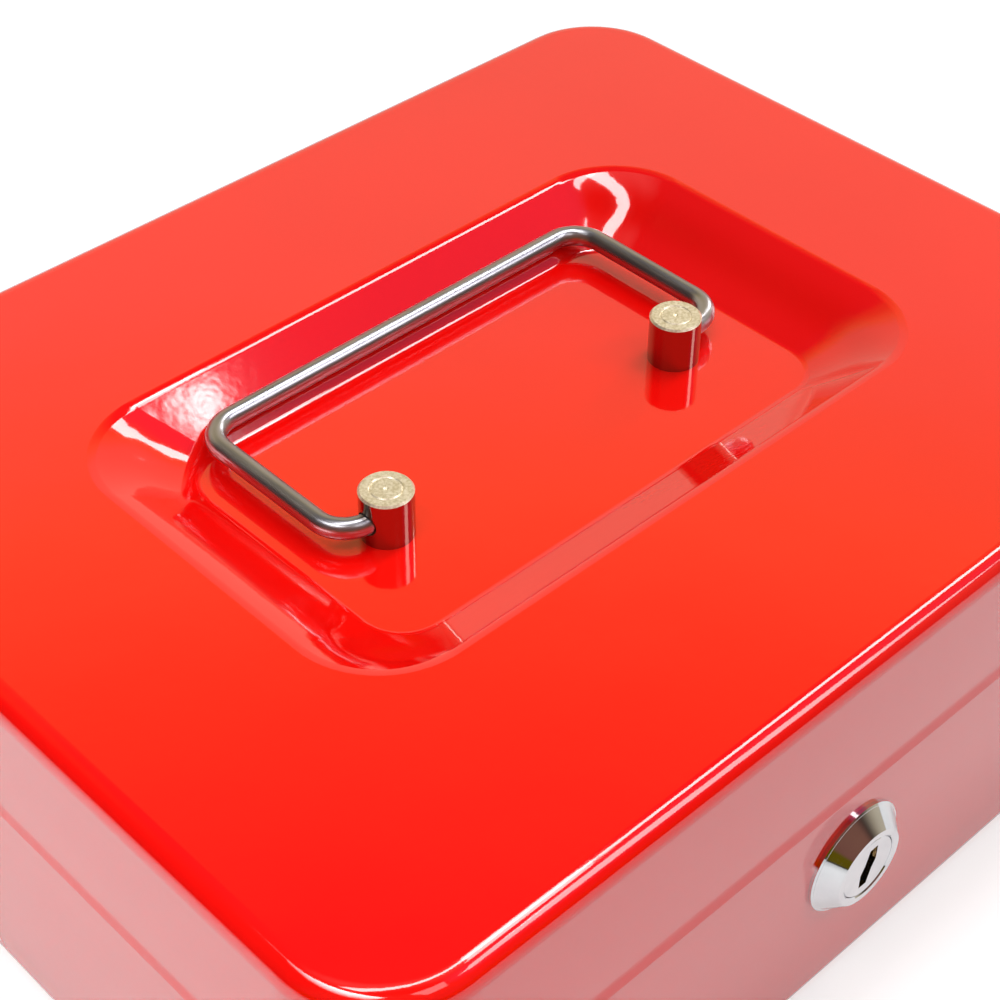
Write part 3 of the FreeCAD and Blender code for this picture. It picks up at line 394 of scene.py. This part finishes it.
finishes = {
    "red_enamel": stove_enamel(),
    # Drawn wire has a satin shine, with fine lines along it
    "handle_wire": metal("drawn_steel_wire", "#a8a7ad", "#bcbbc0", (14, 14, 0.5), (0.24, 0.34), 0.004),
    "post_nickel": turned_nickel(),
    # Polished chrome is a nearly clean, cool mirror
    "lock_chrome": metal("polished_chrome_plate", "#d4d5d8", "#dfe0e2", (6, 6, 6), (0.05, 0.09), 0.001),
    # Zinc from a plating bath is grey and cloudy
    "zinc_plate": metal("dull_zinc_plate", "#9c9d9b", "#b4b5b2", (2, 2, 2), (0.32, 0.46), 0.004),
    # Stamped brass is yellow and half bright
    "wafer_brass": metal("stamped_brass", "#b3893f", "#c79c4e", (1, 4, 1), (0.22, 0.34), 0.003),
    "tray_plastic": tray_plastic(),
}
for subpart in frame["record"]["subparts"]:
    slots = frame["nodes"][subpart["node"]].data.materials
    slots.clear()
    slots.append(finishes[subpart["material_slot"]])


# Studio

FLOOR_HALF = 4.0
SHADOW_REACH = 0.2
ALL_WHITE_FROM = 1.0
WHITE_BY_BOX = 0.62
MIRRORED_WHITE = 0.45


def white_floor():
    """Matt white board. Camera and reflections see it white, and it keeps the box's soft shadow."""
    finish, tree, output, place = new_finish("white_studio_board")
    fibre = add_node(
        tree, "ShaderNodeTexNoise", {"Vector": place.outputs["Object"], "Scale": per_mm(3), "Detail": 3.0}
    )
    shade = add_node(
        tree,
        "ShaderNodeValToRGB",
        {"Fac": fibre.outputs["Fac"]},
        stops=((0.0, "#acacac"), (1.0, "#b0b0b0")),
    )
    board = add_node(tree, "ShaderNodeBsdfDiffuse", {"Color": shade.outputs["Color"]})
    # Less white is added near the box, where its shadow falls, and all of it far off
    distance = add_node(tree, "ShaderNodeVectorMath", {0: place.outputs["Object"]}, operation="LENGTH")
    added_white = add_node(
        tree,
        "ShaderNodeMapRange",
        {
            "Value": distance.outputs["Value"],
            "From Min": SHADOW_REACH,
            "From Max": ALL_WHITE_FROM,
            "To Min": WHITE_BY_BOX,
            "To Max": 1.0,
        },
        interpolation_type="SMOOTHSTEP",
    )
    path = add_node(tree, "ShaderNodeLightPath")
    seen = add_node(
        tree,
        "ShaderNodeMath",
        {0: path.outputs["Is Camera Ray"], 1: added_white.outputs["Result"]},
        operation="MULTIPLY",
    )
    mirrored = add_node(
        tree,
        "ShaderNodeMath",
        {0: path.outputs["Is Glossy Ray"], 1: MIRRORED_WHITE, 2: seen.outputs["Value"]},
        operation="MULTIPLY_ADD",
    )
    glow = add_node(tree, "ShaderNodeEmission", {"Strength": mirrored.outputs["Value"]})
    both = add_node(tree, "ShaderNodeAddShader", {0: board.outputs["BSDF"], 1: glow.outputs["Emission"]})
    tree.links.new(both.outputs["Shader"], output.inputs["Surface"])
    return finish


def studio_floor():
    """A wide level board that the box stands on."""
    mesh = bpy.data.meshes.new("studio_floor")
    shape = bmesh.new()
    bmesh.ops.create_grid(shape, x_segments=2, y_segments=2, size=FLOOR_HALF)
    shape.to_mesh(mesh)
    shape.free()
    floor = bpy.data.objects.new("studio_floor", mesh)
    mesh.materials.append(white_floor())
    bpy.context.scene.collection.objects.link(floor)


# Ways to look from the box, as unit vectors or nearly so
TO_FAR_SIDE = (0.8, 0.6, 0.0)
TO_BROWN_WALL = (-0.6, -0.8, 0.0)
TO_WINDOW = (0.5, -0.42, 0.757)
TO_SKYLIGHT = Vector((0.434, -0.374, 0.82)).normalized()
TO_BRIGHTEST = (0.1, -0.1, 0.99)
ROOM_STRENGTH = 0.85
GLARE_SHARPNESS = 180.0
GLARE_STRENGTH = 18.0


def lean(tree, way, aim, start, full, low=0.0, high=1.0, curve="SMOOTHSTEP"):
    """A number that rises from low to high as the cosine from way to aim goes from start to full."""
    cosine = add_node(tree, "ShaderNodeVectorMath", {0: way, 1: aim}, operation="DOT_PRODUCT")
    rise = add_node(
        tree,
        "ShaderNodeMapRange",
        {
            "Value": cosine.outputs["Value"],
            "From Min": start,
            "From Max": full,
            "To Min": low,
            "To Max": high,
        },
        interpolation_type=curve,
    )
    return rise.outputs["Result"]


def mirrored_room(tree, way):
    """What gloss sees: walls that are pale and warm up to head height and darker above, a brown side
    behind the camera, a cool window and a small skylight."""
    axis = add_node(tree, "ShaderNodeSeparateXYZ", {"Vector": way})
    far_wall = add_node(
        tree,
        "ShaderNodeValToRGB",
        {"Fac": axis.outputs["Z"]},
        stops=(
            (0.1, "#d8ccb4"),
            (0.58, "#ecd8b8"),
            (0.66, "#e6cf88"),
            (0.72, "#b0a066"),
            (0.8, "#4c4a54"),
            (0.89, "#4c4a54"),
            (0.95, "#d0ccc8"),
        ),
    )
    # A brown wall with a low olive band, which the lock's cone mirrors
    brown_wall = add_node(
        tree,
        "ShaderNodeValToRGB",
        {"Fac": axis.outputs["Z"]},
        stops=(
            (0.0, "#1c1608"),
            (0.04, "#6a5a0c"),
            (0.2, "#6a5a0c"),
            (0.26, "#84564a"),
            (0.6, "#8c6050"),
        ),
    )
    near_wall = add_node(
        tree,
        "ShaderNodeMix",
        {0: lean(tree, way, TO_BROWN_WALL, 0.25, 0.5), 6: linear("#4a3a34"), 7: brown_wall.outputs["Color"]},
        data_type="RGBA",
    )
    walls = add_node(
        tree,
        "ShaderNodeMix",
        {0: lean(tree, way, TO_FAR_SIDE, -0.1, 0.45), 6: near_wall.outputs[2], 7: far_wall.outputs["Color"]},
        data_type="RGBA",
    )
    # The well's rear wall mirrors the window along its length and the skylight at its left end
    surround = add_node(
        tree,
        "ShaderNodeMix",
        {0: lean(tree, way, TO_WINDOW, 0.91, 0.985), 6: walls.outputs[2], 7: linear("#8c7ca8")},
        data_type="RGBA",
    )
    room = add_node(
        tree, "ShaderNodeBackground", {"Color": surround.outputs[2], "Strength": ROOM_STRENGTH}
    )
    nearness = lean(tree, way, TO_SKYLIGHT, 0.99, 1.0, curve="LINEAR")
    peak = add_node(tree, "ShaderNodeMath", {0: nearness, 1: GLARE_SHARPNESS}, operation="POWER")
    glare = add_node(
        tree, "ShaderNodeMath", {0: peak.outputs["Value"], 1: GLARE_STRENGTH}, operation="MULTIPLY"
    )
    skylight = add_node(
        tree,
        "ShaderNodeBackground",
        {"Color": linear("#ffffff"), "Strength": glare.outputs["Value"]},
    )
    both = add_node(
        tree,
        "ShaderNodeAddShader",
        {0: room.outputs["Background"], 1: skylight.outputs["Background"]},
    )
    return both.outputs["Shader"]


def studio_room():
    """Soft light from all round, most of it from above. The camera sees white, and gloss sees a room."""
    world = bpy.data.worlds.new("studio_room")
    bpy.context.scene.world = world
    world.use_nodes = True
    tree = world.node_tree
    tree.nodes.clear()
    output = add_node(tree, "ShaderNodeOutputWorld")
    place = add_node(tree, "ShaderNodeTexCoord")
    way = place.outputs["Generated"]
    path = add_node(tree, "ShaderNodeLightPath")
    overhead = lean(tree, way, TO_BRIGHTEST, -0.5, 1.0, low=0.04, high=0.52, curve="LINEAR")
    ambient = add_node(tree, "ShaderNodeBackground", {"Color": linear("#ffffff"), "Strength": overhead})
    white = add_node(tree, "ShaderNodeBackground", {"Color": linear("#ffffff"), "Strength": 1.0})
    lit = add_node(
        tree,
        "ShaderNodeMixShader",
        {0: path.outputs["Is Glossy Ray"], 1: ambient.outputs["Background"], 2: mirrored_room(tree, way)},
    )
    seen = add_node(
        tree,
        "ShaderNodeMixShader",
        {0: path.outputs["Is Camera Ray"], 1: lit.outputs["Shader"], 2: white.outputs["Background"]},
    )
    tree.links.new(seen.outputs["Shader"], output.inputs["Surface"])


def softbox(name, place, aim, width, height, power, turn=0.0, spread=180.0):
    """An oblong lamp that looks along aim, with its width level, or turned from that about its aim."""
    lamp = bpy.data.lights.new(name, "AREA")
    lamp.shape = "RECTANGLE"
    lamp.spread = math.radians(spread)
    lamp.size = width
    lamp.size_y = height
    lamp.energy = power
    holder = bpy.data.objects.new(name, lamp)
    holder.location = place
    spin = Quaternion((0.0, 0.0, 1.0), math.radians(turn))
    holder.rotation_euler = (Vector(aim).to_track_quat("-Z", "Y") @ spin).to_euler()
    holder.visible_camera = False
    bpy.context.scene.collection.objects.link(holder)


DOWN = (0.0, 0.0, -1.0)
studio_floor()
studio_room()
softbox("front_ceiling_panel", (0.917, -1.019, 1.3), DOWN, 1.15, 0.4, 7.2, turn=-34.7)
softbox("left_ceiling_panel", (-0.05, -0.935, 1.3), DOWN, 0.4, 0.63, 1.6)
softbox("rear_ceiling_tube", (0.135, 0.07, 1.3), DOWN, 0.87, 0.18, 4.4)
softbox("right_ceiling_tube", (0.935, -0.02, 1.3), DOWN, 0.73, 0.24, 5)
softbox("middle_ceiling_panel", (0.5, -0.02, 1.31), DOWN, 0.14, 0.52, 1.8)
softbox("side_window", (1.5, 0.25, 0.7), (-0.9, -0.15, -0.38), 0.2, 0.5, 3.5)
softbox("left_floor_lamp", (-0.45, 0.0, 0.7), DOWN, 0.3, 0.6, 2.1, spread=70)


# Camera, solved from the lid's edges, the seam, the well and the posts

CAMERA_PLACE = (-0.23466, -0.24133, 0.35479)
CAMERA_YAW = math.radians(43.79)
CAMERA_PITCH = math.radians(41.31)
CAMERA_ROLL = math.radians(0.34)
LENS_MM = 76.6

camera = bpy.data.objects.new("camera", bpy.data.cameras.new("camera"))
camera.data.lens = LENS_MM
camera.data.clip_start = 0.01
camera.matrix_world = (
    Matrix.Translation(CAMERA_PLACE)
    @ Matrix.Rotation(-CAMERA_YAW, 4, "Z")
    @ Matrix.Rotation(math.pi / 2 - CAMERA_PITCH, 4, "X")
    @ Matrix.Rotation(CAMERA_ROLL, 4, "Z")
)
bpy.context.scene.collection.objects.link(camera)
bpy.context.scene.camera = camera
bpy.context.scene.view_settings.view_transform = "Standard"
